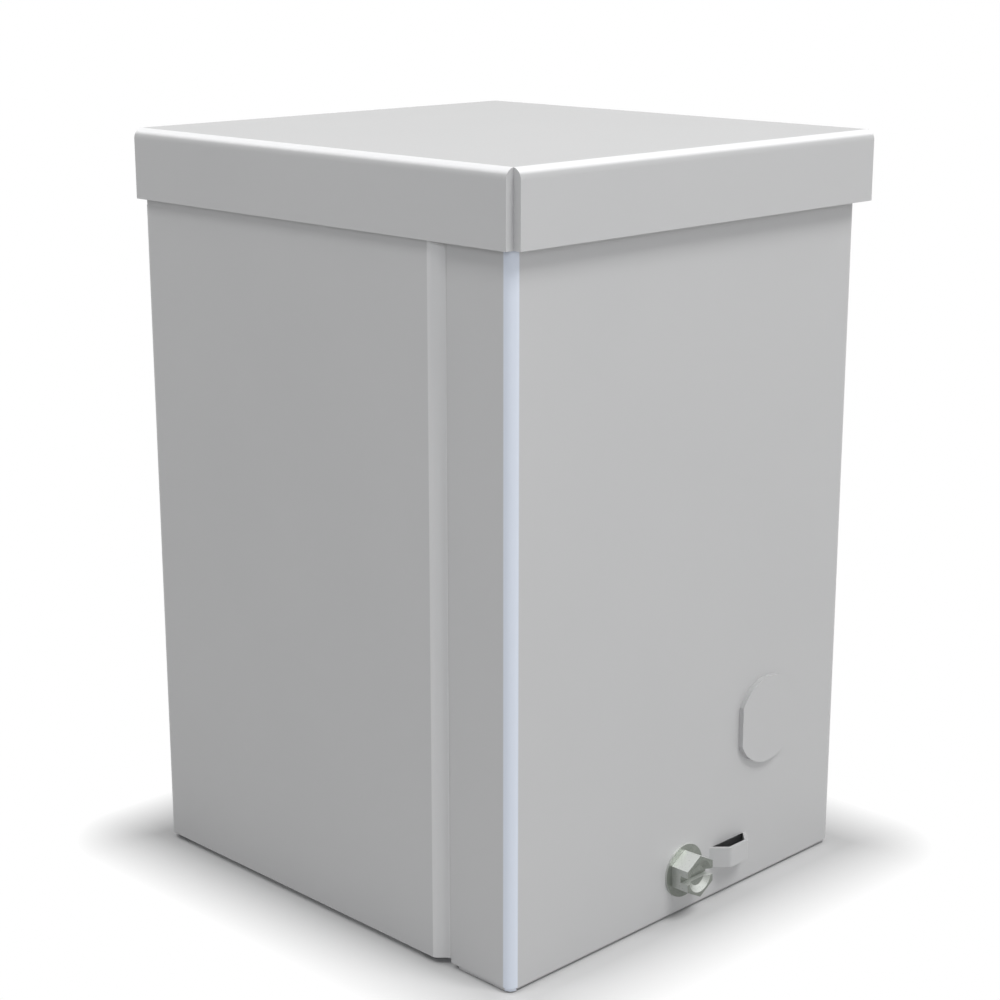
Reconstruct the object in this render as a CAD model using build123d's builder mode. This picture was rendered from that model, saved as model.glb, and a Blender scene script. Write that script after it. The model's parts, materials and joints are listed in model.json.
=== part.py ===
from build123d import *
import os
from math import sqrt

os.makedirs("parts", exist_ok=True)

# Frame: +Z up, the front cover faces -Y, the origin is on the base, under the middle of the cap.

# Sheet and bends
sheet = 1.5
bend_outer = 4.0
bend_inner = bend_outer - sheet
overrun = 20.0

# Drip cap
total_height = 306.1
cap_width = 207.0
cap_depth = 216.4
cap_skirt = 28.0
cap_notch = 3.5
cap_under = total_height - sheet
skirt_bottom = total_height - cap_skirt

# Rear housing
wall_x = 100.6
cap_back_gap = 3.36
back_y = cap_depth / 2 - cap_back_gap
wall_bottom = 2.5
joggle_y = -63.6
lip_inset = 4.1
lip_front_y = -98.0
joggle_bend = 2.4
return_width = 14.0
return_front_y = -54.0
return_relief = 9.0
corner_relief = 2.6
lip_x = wall_x - lip_inset
inner_x = wall_x - sheet
inner_back_y = back_y - sheet

# Wall-mounting bosses pressed out of the back
boss_spacing_x = 88.9
boss_low_z = 45.05
boss_skirt_gap = 17.15
boss_spacing_z = skirt_bottom - boss_skirt_gap - boss_low_z
boss_middle_z = boss_low_z + boss_spacing_z / 2
boss_reach = 0.6
boss_height = cap_back_gap + boss_reach
boss_base_radius = 18.0
boss_hole_radius = 4.0
boss_slope = 45.0

# Front cover
cover_y = -102.2
lip_clearance = 0.35
cover_x = lip_x + lip_clearance + sheet
cover_flange = 31.7
cover_bottom = 0.6
cover_head_gap = 11.3
cover_top = cap_under - cover_head_gap
cover_return = 28.3
return_edge_inset = 0.8
foot_bend = 2.0
hook_depth = 16.2
hook_drop = 8.0
cover_flat_x = cover_x - bend_outer
cover_inner_y = cover_y + sheet

# Header rail that the cover hooks over
hem_radius = sheet
hem_height = 9.0
hook_clearance = 0.3
hinge_y = -92.0
hinge_z = cover_top - sheet - hook_clearance - hem_radius
header_drop = 28.0
header_depth = 18.0
header_x = lip_x - sheet

# Raised double-D pad on the cover
pad_x = 49.7
pad_z = 70.4
pad_radius = 18.4
pad_flat = 16.4
pad_raise = 2.1

# Lanced strap for a padlock or seal
strap_left = 16.2
strap_right = 39.9
strap_low = 14.5
strap_high = 22.8
strap_raise = 6.3
strap_root = 3.0
strap_bend = 2.0

# Cover screw, its retainer and its nut
screw_z = 18.7
hex_across = 15.4
hex_turn = 1.5
head_height = 8.9
dish_radius = 6.6
dish_floor = 4.1
dish_depth = 1.6
flange_radius = 11.0
flange_height = 0.8
slot_width = 2.8
slot_depth = 3.8
shank_radius = 4.0
shank_length = 22.2
cover_hole_radius = 5.5
retainer_radius = 7.8
retainer_thick = 1.2
retainer_gap = 9.8
retainer_fit = 0.05
thread_clearance = 0.45
nut_across = 14.3
nut_height = 6.0

# Base pan with its stepped sill
pan_flange = 20.0
pan_front_y = -72.5
pan_corner = 9.0
pan_wing = 20.0
sill_x = 93.5
sill_step = 7.0
sill_y = -88.5
sill_top = 36.0
sill_hole_radius = 5.5
knockout_radius = 14.1
knockout_spacing = 70.0
knockout_press = 0.6
knockout_y = 8.0
drain_length = 9.0
drain_width = 4.0
drain_inset = 16.0
drain_row_y = -44.0

# Mounting panel on its studs
panel_side_gap = 13.6
panel_low_z = 35.5
panel_head_gap = 34.1
panel_sheet = 2.0
panel_flange = 9.0
panel_bend = 3.5
stud_inset = 15.5
stud_radius = 3.0
stud_length = 16.0
standoff_across = 9.0
standoff = 14.0
stud_clearance = 0.4
washer_radius = 7.0
washer_thick = 1.4
small_nut_across = 10.0
small_nut_height = 5.0
panel_width = 2 * (inner_x - panel_side_gap)
panel_height = cap_under - panel_head_gap - panel_low_z
stud_spacing_x = panel_width - 2 * stud_inset
stud_spacing_z = panel_height - 2 * stud_inset
panel_middle_z = panel_low_z + panel_height / 2

# Ground stud and lug on the base pan
ground_x = 64.0
ground_y = 44.0
ground_stud_length = 18.0
lug_width = 13.0
lug_tang = 15.0
lug_tang_thick = 2.4
lug_block_length = 13.0
lug_block_height = 14.0
lug_bore_radius = 3.6
lug_bore_height = 6.2
lug_edge = 0.6
lug_screw_radius = 3.2
lug_screw_length = 9.0
lug_screw_stand = 3.0
lug_slot_width = 1.2
lug_slot_depth = 1.6


def save(builder, name):
    builder.part.label = name
    export_step(builder.part, f"parts/{name}.step")


# Drip cap: a shoe-box lid, rounded along the top edges, with a square notch down each corner.
def cap_block(width, depth, bottom, top, bend):
    with BuildPart() as block:
        with BuildSketch(Plane.XY.offset(bottom)):
            Rectangle(width, depth)
        extrude(amount=top - bottom)
        fillet(block.faces().sort_by(Axis.Z)[-1].edges(), bend)
        with BuildSketch(Plane.XY.offset(bottom)):
            with GridLocations(width - cap_notch, depth - cap_notch, 2, 2):
                Rectangle(cap_notch, cap_notch)
        extrude(amount=top - bottom, mode=Mode.SUBTRACT)
    return block.part


cap_outside = cap_block(cap_width, cap_depth, skirt_bottom, total_height, bend_outer)
cap_inside = cap_block(
    cap_width - 2 * sheet, cap_depth - 2 * sheet, skirt_bottom - overrun, cap_under, bend_inner
)
with BuildPart() as drip_cap:
    add(cap_outside)
    add(cap_inside, mode=Mode.SUBTRACT)
save(drip_cap, "drip_cap")

# Rear housing: back and sides in one sheet, with joggled lips in front and returns under the cap.
joggle_end_y = joggle_y - lip_inset
wall_top = cap_under - bend_outer
with BuildPart() as side_return:
    with BuildSketch(Plane.front.offset(-inner_back_y + return_relief)):
        with BuildLine():
            FilletPolyline(
                (-wall_x, wall_top - bend_outer),
                (-wall_x, cap_under),
                (-wall_x + return_width, cap_under),
                radius=bend_outer,
            )
            offset(amount=sheet, side=Side.RIGHT)
        make_face()
    extrude(amount=inner_back_y - return_relief - return_front_y)

with BuildPart() as back_return:
    with BuildSketch(Plane.YZ):
        with BuildLine():
            FilletPolyline(
                (back_y, wall_top - bend_outer),
                (back_y, cap_under),
                (back_y - return_width, cap_under),
                radius=bend_outer,
            )
            offset(amount=sheet, side=Side.LEFT)
        make_face()
    extrude(amount=inner_x - return_width - return_relief, both=True)

with BuildPart() as rear_housing:
    with BuildSketch(Plane.XY.offset(wall_bottom)):
        with BuildLine():
            FilletPolyline(
                (-lip_x, lip_front_y),
                (-lip_x, joggle_end_y),
                (-wall_x, joggle_y),
                (-wall_x, back_y),
                (wall_x, back_y),
                (wall_x, joggle_y),
                (lip_x, joggle_end_y),
                (lip_x, lip_front_y),
                radius=[
                    joggle_bend - sheet,
                    joggle_bend,
                    bend_outer,
                    bend_outer,
                    joggle_bend,
                    joggle_bend - sheet,
                ],
            )
            offset(amount=sheet, side=Side.RIGHT)
        make_face()
    extrude(amount=wall_top - wall_bottom)
    add(side_return.part)
    add(mirror(side_return.part, about=Plane.YZ, mode=Mode.PRIVATE))
    add(back_return.part)
    # The rear corners are relieved where the cap's notches come down beside them.
    with BuildSketch(Plane.XY.offset(skirt_bottom - corner_relief)):
        with Locations((-wall_x, back_y), (wall_x, back_y)):
            Rectangle(2 * corner_relief, 2 * corner_relief)
    extrude(amount=cap_skirt, mode=Mode.SUBTRACT)
    # Each boss is a cone frustum of even thickness, so its inside is the outside moved in along the wall.
    with BuildSketch(Plane.back.offset(back_y)):
        with Locations((0, boss_middle_z)):
            with GridLocations(boss_spacing_x, boss_spacing_z, 2, 2):
                Circle(boss_base_radius)
    extrude(amount=boss_height, taper=boss_slope)
    boss_hollow_radius = boss_base_radius + sheet - sheet * sqrt(2)
    with BuildSketch(Plane.back.offset(inner_back_y)):
        with Locations((0, boss_middle_z)):
            with GridLocations(boss_spacing_x, boss_spacing_z, 2, 2):
                Circle(boss_hollow_radius)
    extrude(amount=boss_height, taper=boss_slope, mode=Mode.SUBTRACT)
    with BuildSketch(Plane.back.offset(inner_back_y)):
        with Locations((0, boss_middle_z)):
            with GridLocations(boss_spacing_x, boss_spacing_z, 2, 2):
                Circle(boss_hole_radius)
    extrude(amount=boss_height + overrun, mode=Mode.SUBTRACT)
save(rear_housing, "rear_housing")

# Front cover: front, side flanges, a hooked top and a bottom return, all in one sheet.
foot_top = cover_bottom + sheet
with BuildPart() as cover_hook:
    with BuildSketch(Plane.YZ):
        with BuildLine():
            FilletPolyline(
                (cover_y, cover_top - 2 * bend_outer),
                (cover_y, cover_top),
                (cover_y + hook_depth, cover_top),
                (cover_y + hook_depth, cover_top - hook_drop),
                radius=bend_outer,
            )
            offset(amount=sheet, side=Side.RIGHT)
        make_face()
    extrude(amount=cover_flat_x, both=True)

with BuildPart() as cover_foot:
    with BuildSketch(Plane.XY.offset(cover_bottom)) as foot_plate:
        with Locations((0, cover_y + return_edge_inset)):
            Rectangle(
                2 * (cover_x - return_edge_inset),
                cover_return - return_edge_inset,
                align=(Align.CENTER, Align.MIN),
            )
        fillet(foot_plate.vertices().group_by(Axis.Y)[0], bend_outer - return_edge_inset)
    extrude(amount=sheet)
    # The plate stops behind the bend, so the bend alone forms the lower front edge.
    with BuildSketch(Plane.XY.offset(cover_bottom)):
        with Locations((0, cover_y)):
            Rectangle(2 * cover_flat_x, foot_bend, align=(Align.CENTER, Align.MIN))
    extrude(amount=sheet, mode=Mode.SUBTRACT)
    with BuildSketch(Plane.YZ):
        with BuildLine():
            FilletPolyline(
                (cover_y, cover_bottom + 2 * bend_outer),
                (cover_y, cover_bottom),
                (cover_y + cover_return, cover_bottom),
                radius=foot_bend,
            )
            offset(amount=sheet, side=Side.LEFT)
        make_face()
    extrude(amount=cover_flat_x, both=True)

# Padlock strap: lanced from the cover's own sheet, kept as a solid let into the window that it leaves.
strap_y = cover_y - strap_raise
with BuildPart() as padlock_strap:
    with BuildSketch(Plane.XY.offset(strap_low)):
        with BuildLine():
            FilletPolyline(
                (strap_left - strap_root, cover_y),
                (strap_left, cover_y),
                (strap_left + strap_raise, strap_y),
                (strap_right - strap_raise, strap_y),
                (strap_right, cover_y),
                (strap_right + strap_root, cover_y),
                radius=[strap_bend - sheet, strap_bend, strap_bend, strap_bend - sheet],
            )
            offset(amount=sheet, side=Side.LEFT)
        make_face()
    extrude(amount=strap_high - strap_low)
save(padlock_strap, "padlock_strap")

with BuildPart() as pad:
    with BuildSketch(Plane.front.offset(-cover_inner_y)):
        with Locations((pad_x, pad_z)):
            Circle(pad_radius)
            Rectangle(2 * pad_flat, 2 * pad_radius, mode=Mode.INTERSECT)
    extrude(amount=sheet + pad_raise)

with BuildPart() as front_cover:
    with BuildSketch(Plane.XY.offset(foot_top)):
        with BuildLine():
            FilletPolyline(
                (-cover_x, cover_y + cover_flange),
                (-cover_x, cover_y),
                (cover_x, cover_y),
                (cover_x, cover_y + cover_flange),
                radius=bend_outer,
            )
            offset(amount=sheet, side=Side.LEFT)
        make_face()
    extrude(amount=cover_top - bend_outer - foot_top)
    with BuildSketch(Plane.front.offset(-cover_y)):
        with Locations(((strap_left + strap_right) / 2, (strap_low + strap_high) / 2)):
            Rectangle(strap_right - strap_left + 2 * strap_root, strap_high - strap_low)
        with Locations((0, screw_z)):
            Circle(cover_hole_radius)
    extrude(amount=-sheet, mode=Mode.SUBTRACT)
    add(cover_hook.part)
    add(cover_foot.part)
    add(pad.part)
    with BuildSketch(Plane.front.offset(-cover_inner_y)):
        with Locations((pad_x, pad_z)):
            Circle(pad_radius - sheet)
            Rectangle(2 * (pad_flat - sheet), 2 * pad_radius, mode=Mode.INTERSECT)
    extrude(amount=pad_raise, mode=Mode.SUBTRACT)
save(front_cover, "front_cover")

# Header rail: a hemmed flange that carries the cover's hook, with a stiffening return at its foot.
header_bottom = hinge_z - header_drop
with BuildPart() as header_rail:
    with BuildSketch(Plane.YZ):
        with BuildLine():
            FilletPolyline(
                (hinge_y - sheet, hinge_z),
                (hinge_y - sheet, header_bottom),
                (hinge_y - sheet + header_depth, header_bottom),
                radius=bend_outer,
            )
            offset(amount=sheet, side=Side.LEFT)
        make_face()
        with Locations((hinge_y, hinge_z)):
            Circle(hem_radius)
            Rectangle(2 * hem_radius, hem_height, align=(Align.CENTER, Align.MAX))
    extrude(amount=header_x, both=True)
save(header_rail, "header_rail")

# Base pan: floor, upturned flanges on three sides and a stepped sill that takes the cover's nut.
with BuildPart() as pan_side:
    with BuildSketch(Plane.front.offset(-inner_back_y + pan_corner)):
        with BuildLine():
            FilletPolyline(
                (-inner_x, pan_flange),
                (-inner_x, 0),
                (-inner_x + pan_wing, 0),
                radius=bend_outer,
            )
            offset(amount=sheet, side=Side.LEFT)
        make_face()
    extrude(amount=inner_back_y - pan_corner - return_front_y)

with BuildPart() as base_pan:
    with BuildSketch(Plane.YZ):
        with BuildLine():
            FilletPolyline(
                (inner_back_y, pan_flange),
                (inner_back_y, 0),
                (pan_front_y, 0),
                (pan_front_y, sill_step),
                (sill_y, sill_step),
                (sill_y, sill_top),
                radius=[bend_outer, bend_outer, bend_inner, bend_outer],
            )
            offset(amount=sheet, side=Side.RIGHT)
        make_face()
    extrude(amount=sill_x, both=True)
    add(pan_side.part)
    add(mirror(pan_side.part, about=Plane.YZ, mode=Mode.PRIVATE))
    with BuildSketch(Plane.front.offset(-sill_y)):
        with Locations((0, screw_z)):
            Circle(sill_hole_radius)
    extrude(amount=-sheet, mode=Mode.SUBTRACT)
    # Knockouts are half-sheared discs, pressed up out of the floor.
    with BuildSketch(Plane.XY.offset(sheet)):
        with Locations((0, knockout_y)):
            with GridLocations(knockout_spacing, 0, 2, 1):
                Circle(knockout_radius)
    extrude(amount=knockout_press)
    with BuildSketch(Plane.XY):
        with Locations((0, knockout_y)):
            with GridLocations(knockout_spacing, 0, 2, 1):
                Circle(knockout_radius)
    extrude(amount=knockout_press, mode=Mode.SUBTRACT)
    with BuildSketch(Plane.XY):
        with Locations((0, drain_row_y)):
            with GridLocations(2 * (sill_x - drain_inset), 0, 2, 1):
                Rectangle(drain_length, drain_width)
    extrude(amount=sheet, mode=Mode.SUBTRACT)
save(base_pan, "base_pan")

# Cover screw: slotted and dished hex head with a thin flange, on a plain shank that stands for its thread.
screw_plane = Plane(origin=(0, cover_y, screw_z), x_dir=(1, 0, 0), z_dir=(0, -1, 0))
screw_side = Plane(origin=(0, cover_y, screw_z), x_dir=(1, 0, 0), z_dir=(0, 0, 1))
screw_axis = Axis((0, cover_y, screw_z), (0, -1, 0))
with BuildPart() as cover_screw:
    with BuildSketch(screw_plane):
        RegularPolygon(hex_across / 2, 6, major_radius=False, rotation=30 + hex_turn)
    extrude(amount=head_height)
    with BuildSketch(screw_plane):
        Circle(flange_radius)
    extrude(amount=flange_height)
    # The end of the head is dished, with sloping sides and a flat floor.
    with BuildSketch(screw_side):
        with BuildLine():
            Polyline(
                (0, -head_height),
                (dish_radius, -head_height),
                (dish_floor, -head_height + dish_depth),
                (0, -head_height + dish_depth),
                close=True,
            )
        make_face()
    revolve(axis=screw_axis, mode=Mode.SUBTRACT)
    with BuildSketch(screw_plane.offset(head_height)):
        Rectangle(2 * flange_radius, slot_width)
    extrude(amount=-slot_depth, mode=Mode.SUBTRACT)
    with BuildSketch(screw_plane):
        Circle(shank_radius)
    extrude(amount=-shank_length)
save(cover_screw, "cover_screw")

# Retainer: a push-on ring that stops the screw falling out of the opened cover.
with BuildPart() as screw_retainer:
    with BuildSketch(screw_plane.offset(-sheet - retainer_gap)):
        Circle(retainer_radius)
        Circle(shank_radius + retainer_fit, mode=Mode.SUBTRACT)
    extrude(amount=-retainer_thick)
save(screw_retainer, "screw_retainer")


def hex_nut(plane, across, height, bore, places):
    with BuildPart() as nut:
        with BuildSketch(plane):
            with Locations(*places):
                RegularPolygon(across / 2, 6, major_radius=False)
                Circle(bore, mode=Mode.SUBTRACT)
        extrude(amount=height)
    return nut


# Weld nut behind the sill
sill_back = Plane(origin=(0, sill_y + sheet, screw_z), x_dir=(1, 0, 0), z_dir=(0, 1, 0))
weld_nut = hex_nut(sill_back, nut_across, nut_height, shank_radius + thread_clearance, [(0, 0)])
save(weld_nut, "weld_nut")

# Mounting panel: a flat sheet with two stiffening flanges, on four studs with hex standoffs
stud_corners = [
    (side * stud_spacing_x / 2, panel_middle_z + rise * stud_spacing_z / 2)
    for side in (-1, 1)
    for rise in (-1, 1)
]
panel_back_y = inner_back_y - standoff
panel_y = panel_back_y - panel_sheet
with BuildPart() as mounting_panel:
    with BuildSketch(Plane.XY.offset(panel_low_z)):
        with BuildLine():
            FilletPolyline(
                (-panel_width / 2, panel_y + panel_flange),
                (-panel_width / 2, panel_y),
                (panel_width / 2, panel_y),
                (panel_width / 2, panel_y + panel_flange),
                radius=panel_bend,
            )
            offset(amount=panel_sheet, side=Side.LEFT)
        make_face()
    extrude(amount=panel_height)
    with BuildSketch(Plane.front.offset(-panel_y)):
        with Locations(*stud_corners):
            Circle(stud_radius + stud_clearance)
    extrude(amount=-panel_sheet, mode=Mode.SUBTRACT)
save(mounting_panel, "mounting_panel")

with BuildPart() as panel_studs:
    with BuildSketch(Plane.front.offset(-inner_back_y)):
        with Locations(*stud_corners):
            RegularPolygon(standoff_across / 2, 6, major_radius=False)
    extrude(amount=standoff)
    with BuildSketch(Plane.front.offset(-panel_back_y)):
        with Locations(*stud_corners):
            Circle(stud_radius)
    extrude(amount=stud_length)
save(panel_studs, "panel_studs")

with BuildPart() as panel_washers:
    with BuildSketch(Plane.front.offset(-panel_y)):
        with Locations(*stud_corners):
            Circle(washer_radius)
            Circle(stud_radius + stud_clearance, mode=Mode.SUBTRACT)
    extrude(amount=washer_thick)
save(panel_washers, "panel_washers")

panel_nuts = hex_nut(
    Plane.front.offset(-panel_y + washer_thick),
    small_nut_across,
    small_nut_height,
    stud_radius + stud_clearance / 2,
    stud_corners,
)
save(panel_nuts, "panel_nuts")

# Ground stud, with a lug held by a washer and nut
floor_plane = Plane(origin=(ground_x, ground_y, sheet), x_dir=(1, 0, 0), z_dir=(0, 0, 1))
with BuildPart() as ground_stud:
    with BuildSketch(floor_plane):
        Circle(stud_radius)
    extrude(amount=ground_stud_length)
save(ground_stud, "ground_stud")

lug_end = -lug_tang / 2 - lug_block_length
with BuildPart() as ground_lug:
    with BuildSketch(floor_plane):
        with Locations((lug_end, 0)):
            Rectangle(lug_tang + lug_block_length, lug_width, align=(Align.MIN, Align.CENTER))
        Circle(stud_radius + stud_clearance, mode=Mode.SUBTRACT)
    extrude(amount=lug_tang_thick)
    with BuildSketch(floor_plane):
        with Locations((lug_end, 0)):
            Rectangle(lug_block_length, lug_width, align=(Align.MIN, Align.CENTER))
    extrude(amount=lug_block_height)
    chamfer(ground_lug.edges().group_by(Axis.Z)[-1], lug_edge)
    lug_side = Plane(
        origin=(ground_x + lug_end, ground_y, sheet), x_dir=(0, 1, 0), z_dir=(1, 0, 0)
    )
    with BuildSketch(lug_side):
        with Locations((0, lug_bore_height)):
            Circle(lug_bore_radius)
    extrude(amount=lug_block_length, mode=Mode.SUBTRACT)
    with BuildSketch(floor_plane.offset(lug_block_height)):
        with Locations((lug_end + lug_block_length / 2, 0)):
            Circle(lug_screw_radius + retainer_fit)
    extrude(amount=lug_bore_height - lug_block_height, mode=Mode.SUBTRACT)
save(ground_lug, "ground_lug")

lug_screw_plane = Plane(
    origin=(ground_x + lug_end + lug_block_length / 2, ground_y, sheet + lug_block_height + lug_screw_stand),
    x_dir=(1, 0, 0),
    z_dir=(0, 0, 1),
)
with BuildPart() as ground_lug_screw:
    with BuildSketch(lug_screw_plane):
        Circle(lug_screw_radius)
    extrude(amount=-lug_screw_length)
    chamfer(ground_lug_screw.edges().group_by(Axis.Z)[-1], lug_edge)
    with BuildSketch(lug_screw_plane):
        Rectangle(2 * lug_screw_radius, lug_slot_width)
    extrude(amount=-lug_slot_depth, mode=Mode.SUBTRACT)
save(ground_lug_screw, "ground_lug_screw")

washer_plane = floor_plane.offset(lug_tang_thick)
with BuildPart() as ground_washer:
    with BuildSketch(washer_plane):
        Circle(washer_radius)
        Circle(stud_radius + stud_clearance, mode=Mode.SUBTRACT)
    extrude(amount=washer_thick)
save(ground_washer, "ground_washer")

ground_nut = hex_nut(
    washer_plane.offset(washer_thick),
    small_nut_across,
    small_nut_height,
    stud_radius + stud_clearance / 2,
    [(0, 0)],
)
save(ground_nut, "ground_nut")
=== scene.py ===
# %% [markdown]
# A grey steel wall box. A drip cap sits on a folded rear housing, and a folded cover hooks on in front
# and is held at the bottom by one slotted hex flange screw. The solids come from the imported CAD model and
# are already true to size, so this script leaves their meshes alone: it gives every sheet and fastener
# its real finish, cuts the screw threads that the solids leave out, and lights the box for its portrait.

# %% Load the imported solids
import json
from math import radians

import bpy
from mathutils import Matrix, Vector


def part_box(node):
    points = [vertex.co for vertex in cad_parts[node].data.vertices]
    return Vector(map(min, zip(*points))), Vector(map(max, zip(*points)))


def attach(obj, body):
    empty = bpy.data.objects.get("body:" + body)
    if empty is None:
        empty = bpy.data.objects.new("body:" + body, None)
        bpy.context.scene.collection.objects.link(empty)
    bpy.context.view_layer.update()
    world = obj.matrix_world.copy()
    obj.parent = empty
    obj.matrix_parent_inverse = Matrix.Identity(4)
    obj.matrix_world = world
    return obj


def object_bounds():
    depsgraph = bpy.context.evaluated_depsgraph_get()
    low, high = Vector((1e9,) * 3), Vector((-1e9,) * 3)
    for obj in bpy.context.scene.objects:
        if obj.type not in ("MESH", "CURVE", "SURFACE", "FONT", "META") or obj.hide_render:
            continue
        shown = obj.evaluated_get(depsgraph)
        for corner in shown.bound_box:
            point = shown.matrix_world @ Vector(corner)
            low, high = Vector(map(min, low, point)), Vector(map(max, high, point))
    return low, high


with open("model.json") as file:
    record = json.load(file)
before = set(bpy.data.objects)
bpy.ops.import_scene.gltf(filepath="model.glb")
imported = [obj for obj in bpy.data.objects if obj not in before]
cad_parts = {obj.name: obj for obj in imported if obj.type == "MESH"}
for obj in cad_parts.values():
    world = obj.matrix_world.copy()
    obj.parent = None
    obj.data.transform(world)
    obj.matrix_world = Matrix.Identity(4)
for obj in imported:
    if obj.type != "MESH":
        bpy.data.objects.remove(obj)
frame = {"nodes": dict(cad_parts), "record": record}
cad_low, cad_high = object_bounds()
nodes = frame["nodes"]
cad_size = Vector(cad_high) - Vector(cad_low)
print("solids:", len(nodes), "box in mm:", [round(side * 1000, 1) for side in cad_size])

# %% [markdown]
# The camera stands at the front left corner of the box, fifteen degrees above level, and its two
# vanishing points fix how long the lens is. A camera could be placed by eye, but one place and one lens
# worked out from the box's own straight edges put every fold where the eye expects it.

# %% Place the camera
CAMERA_PLACE = (-0.6031, -0.6015, 0.38125)
CAMERA_TILT = radians(74.98)
CAMERA_TURN = radians(-45)
LENS_MM = 76.07
SENSOR_MM = 36.0

scene = bpy.context.scene
camera_data = bpy.data.cameras.new("portrait_camera")
camera_data.lens = LENS_MM
camera_data.sensor_width = SENSOR_MM
camera = bpy.data.objects.new("portrait_camera", camera_data)
camera.location = CAMERA_PLACE
camera.rotation_euler = (CAMERA_TILT, 0, CAMERA_TURN)
scene.collection.objects.link(camera)
scene.camera = camera
scene.view_settings.view_transform = "Standard"
print("camera", round(Vector(CAMERA_PLACE).length, 3), "m from the origin, lens", LENS_MM, "mm")

# %% [markdown]
# Materials are built from nodes, and most of them start the same way: the point's place on the piece,
# in metres, feeds a few noises. Small helpers keep that readable. One adds a node and sets its inputs by
# name, others make a noise, stretch a range, join two values, mix two colours or raise a bump. Each
# finish below then reads like a recipe.


# %% Node helpers
def add_node(tree, kind, **settings):
    node = tree.nodes.new(kind)
    for name, value in settings.items():
        if name in node.bl_rna.properties:
            setattr(node, name, value)
        else:
            node.inputs[name.replace("_", " ").title()].default_value = value
    return node


def new_material(name):
    material = bpy.data.materials.new(name)
    material.use_nodes = True
    tree = material.node_tree
    shader = tree.nodes["Principled BSDF"]
    place = add_node(tree, "ShaderNodeTexCoord").outputs["Object"]
    return material, tree, shader, place


def noise(tree, place, scale, detail=2.0, roughness=0.5):
    texture = add_node(tree, "ShaderNodeTexNoise", scale=scale, detail=detail, roughness=roughness)
    tree.links.new(place, texture.inputs["Vector"])
    return texture.outputs["Fac"]


def remap(tree, value, low, high, start=0.0, end=1.0):
    mapper = add_node(tree, "ShaderNodeMapRange")
    mapper.inputs["From Min"].default_value = start
    mapper.inputs["From Max"].default_value = end
    mapper.inputs["To Min"].default_value = low
    mapper.inputs["To Max"].default_value = high
    tree.links.new(value, mapper.inputs["Value"])
    return mapper.outputs["Result"]


def combine(tree, operation, first, second):
    node = add_node(tree, "ShaderNodeMath", operation=operation)
    for socket, value in zip(node.inputs, (first, second)):
        if isinstance(value, bpy.types.NodeSocket):
            tree.links.new(value, socket)
        else:
            socket.default_value = value
    return node.outputs["Value"]


def axis_parts(tree, vector):
    parts = add_node(tree, "ShaderNodeSeparateXYZ")
    tree.links.new(vector, parts.inputs["Vector"])
    return parts.outputs


def mix_colour(tree, share, first, second):
    mixer = add_node(tree, "ShaderNodeMix", data_type="RGBA")
    for socket, colour in (("A", first), ("B", second)):
        target = [s for s in mixer.inputs if s.name == socket and s.type == "RGBA"][0]
        if isinstance(colour, bpy.types.NodeSocket):
            tree.links.new(colour, target)
        else:
            target.default_value = (*colour, 1.0)
    tree.links.new(share, mixer.inputs["Factor"])
    return [s for s in mixer.outputs if s.type == "RGBA"][0]


def add_bump(tree, shader, height, depth, strength):
    bump = add_node(tree, "ShaderNodeBump", strength=strength)
    bump.inputs["Distance"].default_value = depth
    tree.links.new(height, bump.inputs["Height"])
    tree.links.new(bump.outputs["Normal"], shader.inputs["Normal"])


print("helpers ready")

# %% [markdown]
# Some folds of the painted sheets get a painted highlight: a paler colour that stands in for light
# catching the bend. They are the cover's left one, the cap's top ones, and those at the front of the
# housing. A fold could be picked out face by face, but its normal tells it apart without touching
# the mesh: it points along no axis of the box. How far out the point lies says which fold it is.

# %% Find the folds
FLAT, BENT = 0.9995, 0.993
UPRIGHT, LEANING = 0.02, 0.15


# Share of a fold that takes the painted highlight: a bent normal, far enough out along the given axis.
def fold_highlight_share(tree, place, axis, side, limit, fade):
    normal = add_node(tree, "ShaderNodeTexCoord").outputs["Normal"]
    absolute = add_node(tree, "ShaderNodeVectorMath", operation="ABSOLUTE")
    tree.links.new(normal, absolute.inputs[0])
    parts = axis_parts(tree, absolute.outputs["Vector"])
    largest = combine(tree, "MAXIMUM", parts["X"], parts["Y"])
    largest = combine(tree, "MAXIMUM", largest, parts["Z"])
    bent = remap(tree, largest, 0.0, 1.0, start=FLAT, end=BENT)
    distance = combine(tree, "MULTIPLY", axis_parts(tree, place)[axis], side)
    outer = remap(tree, distance, 0.0, 1.0, start=limit, end=limit + fade)
    share = combine(tree, "MULTIPLY", bent, outer)
    if axis != "Z":
        standing = remap(tree, parts["Z"], 1.0, 0.0, start=UPRIGHT, end=LEANING)
        share = combine(tree, "MULTIPLY", share, standing)
    return share


print("a fold leans from its axis by a cosine of", FLAT, "or less")

# %% [markdown]
# Every sheet of the box is powder coated in light grey. Powder melts into a skin with a faint orange
# peel, so the recipe is a pale grey, a bump a few hundredths of a millimetre deep, and a gloss that
# wavers a little. Chosen folds get a painted highlight. The cap's painted highlight fades out half way
# down its fold. The others fill theirs.

# %% Grey powder coat
PAINT_GREY = (0.500, 0.500, 0.500)
PAINT_SHADE = (0.478, 0.479, 0.480)
PAINT_CLOUDS = 14.0
PEEL_SCALE, PEEL_DEPTH, PEEL_STRENGTH = 950.0, 0.00004, 0.35
SATIN = (0.36, 0.46)
# Painted highlight on the cover's left fold: a pale cool grey in place of light on the bend.
COVER_FOLD_HIGHLIGHT = (0.655, 0.702, 0.785)
# Painted highlight on the cap's top folds, paler than the flats, in place of white lines of light.
CAP_FOLD_HIGHLIGHT = (0.800, 0.800, 0.805)
# Painted light on the folds at the front of the housing: a paler grey in place of light on the bends.
JOGGLE_FOLD_HIGHLIGHT = (0.612, 0.612, 0.610)
COVER_BREADTH, CAP_BREADTH = 0.0045, 0.0024
SHARP_FADE, CAP_FADE = 0.00001, 0.0014
JOGGLE_FRONT = 0.0625


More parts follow.
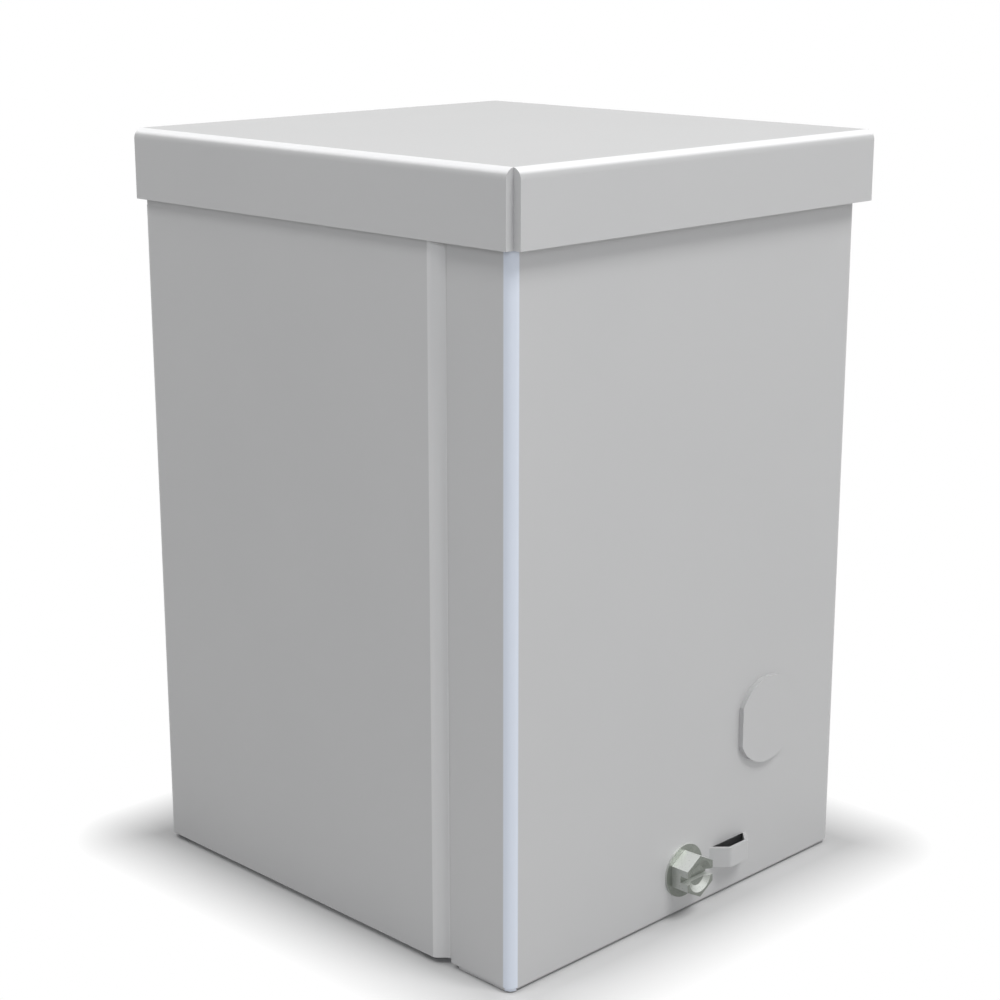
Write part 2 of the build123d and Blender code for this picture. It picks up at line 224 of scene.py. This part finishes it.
def powder_coat(name, highlight_grey, axis, side, limit, fade):
    material, tree, shader, place = new_material(name)
    cloudy = mix_colour(tree, noise(tree, place, PAINT_CLOUDS), PAINT_SHADE, PAINT_GREY)
    folds = fold_highlight_share(tree, place, axis, side, limit, fade)
    # The painted highlight is mixed into the paint on the chosen folds.
    tree.links.new(mix_colour(tree, folds, cloudy, highlight_grey), shader.inputs["Base Color"])
    peel = noise(tree, place, PEEL_SCALE, detail=3.0)
    tree.links.new(remap(tree, peel, *SATIN), shader.inputs["Roughness"])
    add_bump(tree, shader, peel, PEEL_DEPTH, PEEL_STRENGTH)
    return material


cover_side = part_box("front_cover")[1].x - COVER_BREADTH
cap_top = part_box("drip_cap")[1].z - CAP_BREADTH
housing_coat = powder_coat("housing_coat", JOGGLE_FOLD_HIGHLIGHT, "Y", -1, JOGGLE_FRONT, SHARP_FADE)
cover_coat = powder_coat("cover_coat", COVER_FOLD_HIGHLIGHT, "X", -1, cover_side, SHARP_FADE)
cap_coat = powder_coat("cap_coat", CAP_FOLD_HIGHLIGHT, "Z", 1, cap_top, CAP_FADE)
print("folds begin at mm:", round(cover_side * 1000, 1), round(cap_top * 1000, 1))

# %% [markdown]
# The cover screw is plated steel in a dull green-grey. Painted light is mixed into that colour: faces that
# look up are painted paler, as if lit from above, and the flats of the hex are painted paler than the end
# and the flange. The normal tells them apart, by its height and by how far it points along the screw. The
# zinc on the nuts, washers and studs and the tin on the ground lug sit inside the box and get no painted
# light, so there the colour only drifts in soft clouds. A very fine grain breaks the mirror on all of them.


# %% Plated metals
PLATE_CLOUDS, PLATE_GRAIN = 320.0, 2600.0
GRAIN_DEPTH, GRAIN_STRENGTH = 0.00001, 0.3
NOISE_LOW, NOISE_HIGH = 0.3, 0.7
# Painted light on the cover screw: the paler colour taken by faces that look up and by the hex flats.
PAINTED_LIGHT_PLATE = (0.75, 0.77, 0.74)
FULL_LIGHT_HEIGHT = 0.85
FLATS_LIGHT, FLATS_LIGHT_LIMIT = 0.55, 0.4
FILMED_METAL = 0.6


# Share of painted light: more where the normal looks up and on the hex flats, none on the end and flange.
def painted_light_share(tree):
    normal = add_node(tree, "ShaderNodeTexCoord").outputs["Normal"]
    parts = axis_parts(tree, normal)
    lit_from_above = remap(tree, parts["Z"], 0.0, 1.0, start=0.0, end=FULL_LIGHT_HEIGHT)
    along = combine(tree, "MULTIPLY", parts["Y"], parts["Y"])
    flats_lit = remap(tree, along, FLATS_LIGHT, 0.0, end=FLATS_LIGHT_LIMIT)
    return combine(tree, "MAXIMUM", lit_from_above, flats_lit)


def plated_metal(name, bright, dull, smooth, rough, metallic=1.0, painted_light=None):
    material, tree, shader, place = new_material(name)
    shader.inputs["Metallic"].default_value = metallic
    clouds = noise(tree, place, PLATE_CLOUDS, detail=4.0, roughness=0.6)
    colour = mix_colour(tree, remap(tree, clouds, 0.0, 1.0, NOISE_LOW, NOISE_HIGH), bright, dull)
    # Mix the painted light into the metal's colour.
    if painted_light:
        colour = mix_colour(tree, painted_light_share(tree), colour, painted_light)
    tree.links.new(colour, shader.inputs["Base Color"])
    grain = noise(tree, place, PLATE_GRAIN)
    gloss = remap(tree, grain, smooth, rough, NOISE_LOW, NOISE_HIGH)
    tree.links.new(gloss, shader.inputs["Roughness"])
    add_bump(tree, shader, grain, GRAIN_DEPTH, GRAIN_STRENGTH)
    return material


bright_plate = plated_metal(
    "bright_plate", bright=(0.235, 0.250, 0.225), dull=(0.185, 0.200, 0.178), smooth=0.26, rough=0.38,
    metallic=FILMED_METAL, painted_light=PAINTED_LIGHT_PLATE,
)
zinc_plate = plated_metal(
    "zinc_plate", bright=(0.64, 0.66, 0.69), dull=(0.50, 0.52, 0.55), smooth=0.30, rough=0.46
)
tinned_lug = plated_metal(
    "tinned_lug", bright=(0.78, 0.78, 0.76), dull=(0.66, 0.66, 0.65), smooth=0.34, rough=0.48
)
print("plated metals:", bright_plate.name, zinc_plate.name, tinned_lug.name)

# %% [markdown]
# The panel inside the box is stove enamelled white. Enamel flows out flatter than powder, so it has a
# longer, softer ripple and a higher gloss than the grey coat.


# %% White enamel
ENAMEL_WHITE = (0.80, 0.80, 0.77)
ENAMEL_SHADE = (0.75, 0.75, 0.72)
ENAMEL_CLOUDS = 20.0
RIPPLE_SCALE, RIPPLE_DEPTH, RIPPLE_STRENGTH = 260.0, 0.00003, 0.25
GLOSSY = (0.22, 0.32)


def stove_enamel():
    material, tree, shader, place = new_material("white_enamel")
    colour = mix_colour(tree, noise(tree, place, ENAMEL_CLOUDS), ENAMEL_SHADE, ENAMEL_WHITE)
    tree.links.new(colour, shader.inputs["Base Color"])
    ripple = noise(tree, place, RIPPLE_SCALE)
    tree.links.new(remap(tree, ripple, *GLOSSY), shader.inputs["Roughness"])
    add_bump(tree, shader, ripple, RIPPLE_DEPTH, RIPPLE_STRENGTH)
    return material


white_enamel = stove_enamel()
print(white_enamel.name, "ready")

# %% [markdown]
# Each solid already names the finish it takes, so the new materials are handed out by that name. The
# cover, its strap and the cap take their own versions of the grey coat, because their painted fold
# highlights lie elsewhere. The solids keep their meshes, only what fills their material slots changes.

# %% Hand out the finishes
FINISHES = {
    "grey_paint": housing_coat,
    "bright_plate": bright_plate,
    "zinc_plate": zinc_plate,
    "white_paint": white_enamel,
    "tinned_lug": tinned_lug,
}
# Each of these coats paints its highlight on its own folds.
FOLDED_SHEETS = {"front_cover": cover_coat, "padlock_strap": cover_coat, "drip_cap": cap_coat}
for subpart in frame["record"]["subparts"]:
    mesh = nodes[subpart["node"]].data
    mesh.materials.clear()
    finish = FOLDED_SHEETS.get(subpart["node"], FINISHES[subpart["material_slot"]])
    mesh.materials.append(finish)
    print(subpart["node"], "takes", finish.name)

# %% [markdown]
# Every screw and stud is a plain rod in the solids, because a thread is too fine to collide. Here each
# one gets its ridge: a spiral curve with a small diamond swept along it, which leaves a vee standing on
# the rod. A screw modifier would do for one rod, but Geometry Nodes place the same ridge at any number of
# starting points, so one node group serves all six rods. The spiral is reversed because the node winds to
# the left, and common threads are right-handed.

# %% Thread node group
RIDGE_SIDES = 4
STEPS_PER_TURN = 32


def thread_group():
    group = bpy.data.node_groups.new("screw_thread", "GeometryNodeTree")
    sockets = {}
    for name, kind in (("Geometry", "Geometry"), ("Turns", "Float"), ("Core Radius", "Float"),
                       ("Ridge", "Float"), ("Length", "Float"), ("Direction", "Rotation"),
                       ("Finish", "Material")):
        socket = group.interface.new_socket(name, in_out="INPUT", socket_type="NodeSocket" + kind)
        sockets[name] = socket.identifier
    group.interface.new_socket("Geometry", in_out="OUTPUT", socket_type="NodeSocketGeometry")
    given = add_node(group, "NodeGroupInput").outputs
    spiral = add_node(group, "GeometryNodeCurveSpiral", resolution=STEPS_PER_TURN)
    spiral.inputs["Reverse"].default_value = True
    upright = add_node(group, "GeometryNodeSetCurveNormal", mode="Z_UP")
    diamond = add_node(group, "GeometryNodeCurvePrimitiveCircle", resolution=RIDGE_SIDES)
    sweep = add_node(group, "GeometryNodeCurveToMesh", fill_caps=True)
    place = add_node(group, "GeometryNodeInstanceOnPoints")
    real = add_node(group, "GeometryNodeRealizeInstances")
    paint = add_node(group, "GeometryNodeSetMaterial")
    result = add_node(group, "NodeGroupOutput")
    for source, target in (
        (given["Turns"], spiral.inputs["Rotations"]),
        (given["Core Radius"], spiral.inputs["Start Radius"]),
        (given["Core Radius"], spiral.inputs["End Radius"]),
        (given["Length"], spiral.inputs["Height"]),
        (given["Ridge"], diamond.inputs["Radius"]),
        (spiral.outputs["Curve"], upright.inputs["Curve"]),
        (upright.outputs["Curve"], sweep.inputs["Curve"]),
        (diamond.outputs["Curve"], sweep.inputs["Profile Curve"]),
        (given["Geometry"], place.inputs["Points"]),
        (sweep.outputs["Mesh"], place.inputs["Instance"]),
        (given["Direction"], place.inputs["Rotation"]),
        (place.outputs["Instances"], real.inputs["Geometry"]),
        (real.outputs["Geometry"], paint.inputs["Geometry"]),
        (given["Finish"], paint.inputs["Material"]),
        (paint.outputs["Geometry"], result.inputs["Geometry"]),
    ):
        group.links.new(source, target)
    return group, sockets


thread_nodes, thread_sockets = thread_group()
print("thread group inputs:", list(thread_sockets))

# %% [markdown]
# The ridges start where the plain rods come into sight: behind the retainer on the cover screw, and
# beyond the nuts on the studs. Those places are read from the boxes of the solids. The node group is
# turned into a plain mesh at the end, so that each thread is one piece that rides on its own body.

# %% Cut the threads
WASHER_RADIUS = 0.007
SCREW_CORE, SCREW_RIDGE, SCREW_PITCH = 0.0040, 0.0004, 0.0015875
STUD_CORE, STUD_RIDGE, STUD_PITCH = 0.0030, 0.00018, 0.0010


def make_thread(name, starts, direction, length, core, ridge, pitch, finish):
    points = bpy.data.meshes.new(name + "_starts")
    points.from_pydata(starts, [], [])
    carrier = bpy.data.objects.new(name + "_starts", points)
    scene.collection.objects.link(carrier)
    modifier = carrier.modifiers.new("thread", "NODES")
    modifier.node_group = thread_nodes
    inner = length - 2 * ridge
    values = {"Turns": inner / pitch, "Core Radius": core, "Ridge": ridge, "Length": inner,
              "Direction": direction, "Finish": finish}
    for label, value in values.items():
        modifier[thread_sockets[label]] = value
    evaluated = carrier.evaluated_get(bpy.context.evaluated_depsgraph_get())
    mesh = bpy.data.meshes.new_from_object(evaluated)
    bpy.data.objects.remove(carrier)
    thread = bpy.data.objects.new(name, mesh)
    scene.collection.objects.link(thread)
    print(name, "faces:", len(mesh.polygons), "turns:", round(inner / pitch, 1))
    return thread


screw_low, screw_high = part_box("cover_screw")
neck_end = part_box("screw_retainer")[1].y
screw_middle = (screw_low + screw_high) / 2
screw_thread = make_thread(
    "screw_thread", [(screw_middle.x, neck_end + SCREW_RIDGE, screw_middle.z)], (-radians(90), 0, 0),
    screw_high.y - neck_end, SCREW_CORE, SCREW_RIDGE, SCREW_PITCH, bright_plate,
)
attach(screw_thread, "screw")

washer_low, washer_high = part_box("panel_washers")
nut_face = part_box("panel_nuts")[0].y
stud_starts = [
    (x, nut_face - STUD_RIDGE, z)
    for x in (washer_low.x + WASHER_RADIUS, washer_high.x - WASHER_RADIUS)
    for z in (washer_low.z + WASHER_RADIUS, washer_high.z - WASHER_RADIUS)
]
panel_threads = make_thread(
    "panel_stud_threads", stud_starts, (radians(90), 0, 0), nut_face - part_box("panel_studs")[0].y,
    STUD_CORE, STUD_RIDGE, STUD_PITCH, zinc_plate,
)
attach(panel_threads, "housing")

ground_low, ground_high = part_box("ground_stud")
ground_middle = (ground_low + ground_high) / 2
ground_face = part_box("ground_nut")[1].z
ground_thread = make_thread(
    "ground_stud_thread", [(ground_middle.x, ground_middle.y, ground_face + STUD_RIDGE)], (0, 0, 0),
    ground_high.z - ground_face, STUD_CORE, STUD_RIDGE, STUD_PITCH, zinc_plate,
)
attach(ground_thread, "housing")

# %% [markdown]
# The box stands on a plain pale floor. Close by, the floor is matt and takes the soft shadow. Further
# out it fades into an even white glow, so no horizon shows. The same white surrounds the box for the
# camera and for reflections, while the light that falls on the paint is set on its own.

# %% Pale floor and surroundings
FLOOR_HALF = 12.0
FLOOR_PALE = (0.58, 0.58, 0.58)
SHADOW_REACH = 0.035
SKY_LIGHT = 0.270


def seen_directly(tree):
    path = add_node(tree, "ShaderNodeLightPath").outputs
    seen = combine(tree, "MAXIMUM", path["Is Camera Ray"], path["Is Glossy Ray"])
    return combine(tree, "MAXIMUM", seen, path["Is Transmission Ray"])


def floor_material():
    material, tree, shader, place = new_material("studio_floor")
    shader.inputs["Base Color"].default_value = (*FLOOR_PALE, 1.0)
    shader.inputs["Roughness"].default_value = 1.0
    shader.inputs["Specular IOR Level"].default_value = 0.0
    glow = add_node(tree, "ShaderNodeEmission")
    outward = add_node(tree, "ShaderNodeVectorMath", operation="ABSOLUTE")
    tree.links.new(place, outward.inputs[0])
    beyond = add_node(tree, "ShaderNodeVectorMath", operation="SUBTRACT")
    beyond.inputs[1].default_value = (cad_size.x / 2, cad_size.y / 2, 0)
    tree.links.new(outward.outputs["Vector"], beyond.inputs[0])
    outside = add_node(tree, "ShaderNodeVectorMath", operation="MAXIMUM")
    tree.links.new(beyond.outputs["Vector"], outside.inputs[0])
    reach = add_node(tree, "ShaderNodeVectorMath", operation="LENGTH")
    tree.links.new(outside.outputs["Vector"], reach.inputs[0])
    far = remap(tree, reach.outputs["Value"], 0.0, 1.0, 0.0, SHADOW_REACH)
    mixer = add_node(tree, "ShaderNodeMixShader")
    tree.links.new(combine(tree, "MULTIPLY", far, seen_directly(tree)), mixer.inputs["Fac"])
    tree.links.new(shader.outputs["BSDF"], mixer.inputs[1])
    tree.links.new(glow.outputs["Emission"], mixer.inputs[2])
    tree.links.new(mixer.outputs["Shader"], tree.nodes["Material Output"].inputs["Surface"])
    return material


corners = [(-1, -1), (1, -1), (1, 1), (-1, 1)]
floor_mesh = bpy.data.meshes.new("studio_floor")
floor_mesh.from_pydata([(x * FLOOR_HALF, y * FLOOR_HALF, 0) for x, y in corners], [], [(0, 1, 2, 3)])
floor_mesh.materials.append(floor_material())
floor = bpy.data.objects.new("studio_floor", floor_mesh)
scene.collection.objects.link(floor)

world = bpy.data.worlds.new("white_studio")
world.use_nodes = True
scene.world = world
sky = world.node_tree.nodes["Background"]
sky.inputs["Color"].default_value = (1.0, 1.0, 1.0, 1.0)
sky_level = remap(world.node_tree, seen_directly(world.node_tree), SKY_LIGHT, 1.0)
world.node_tree.links.new(sky_level, sky.inputs["Strength"])
print("floor", 2 * FLOOR_HALF, "m wide, sky light", SKY_LIGHT)

# %% [markdown]
# Soft boxes light the paint as a studio would. Two hang high over the front and the left, so that the
# cap's skirt throws a soft shadow down both walls. Two more stand beyond the box, where the cap's front
# folds catch them as white lines. A low key fills the cover. A cool lamp over the camera's shoulder draws
# out the tall fold between the two faces and looks into the gap behind the strap. All of them are aimed
# at the middle of the box.

# %% Soft boxes
AIM = Vector((0, 0, cad_size.z / 2))
WHITE, COOL = (1.0, 1.0, 1.0), (0.93, 0.95, 1.0)
LAMPS = {
    "front_box": ((0.24, -1.52, 2.47), (0.96, 0.96), 39.7, WHITE),
    "left_box": ((-0.95, 0.15, 1.60), (0.60, 0.60), 7.2, WHITE),
    "right_strip": ((0.95, -0.40, 1.12), (0.45, 0.45), 3.0, WHITE),
    "back_strip": ((-0.40, 0.95, 1.12), (0.45, 0.45), 3.0, WHITE),
    "cover_key": ((0.55, -1.30, 0.22), (0.80, 0.40), 1.9, WHITE),
    "fold_strip": ((-0.95, -0.95, 0.60), (0.25, 0.25), 3.4, COOL),
}
for name, (place, size, power, tint) in LAMPS.items():
    lamp_data = bpy.data.lights.new(name, "AREA")
    lamp_data.shape = "RECTANGLE"
    lamp_data.size, lamp_data.size_y = size
    lamp_data.energy = power
    lamp_data.color = tint
    lamp = bpy.data.objects.new(name, lamp_data)
    lamp.location = place
    lamp.rotation_euler = (AIM - Vector(place)).to_track_quat("-Z", "Y").to_euler()
    scene.collection.objects.link(lamp)
    print(name, power, "W")
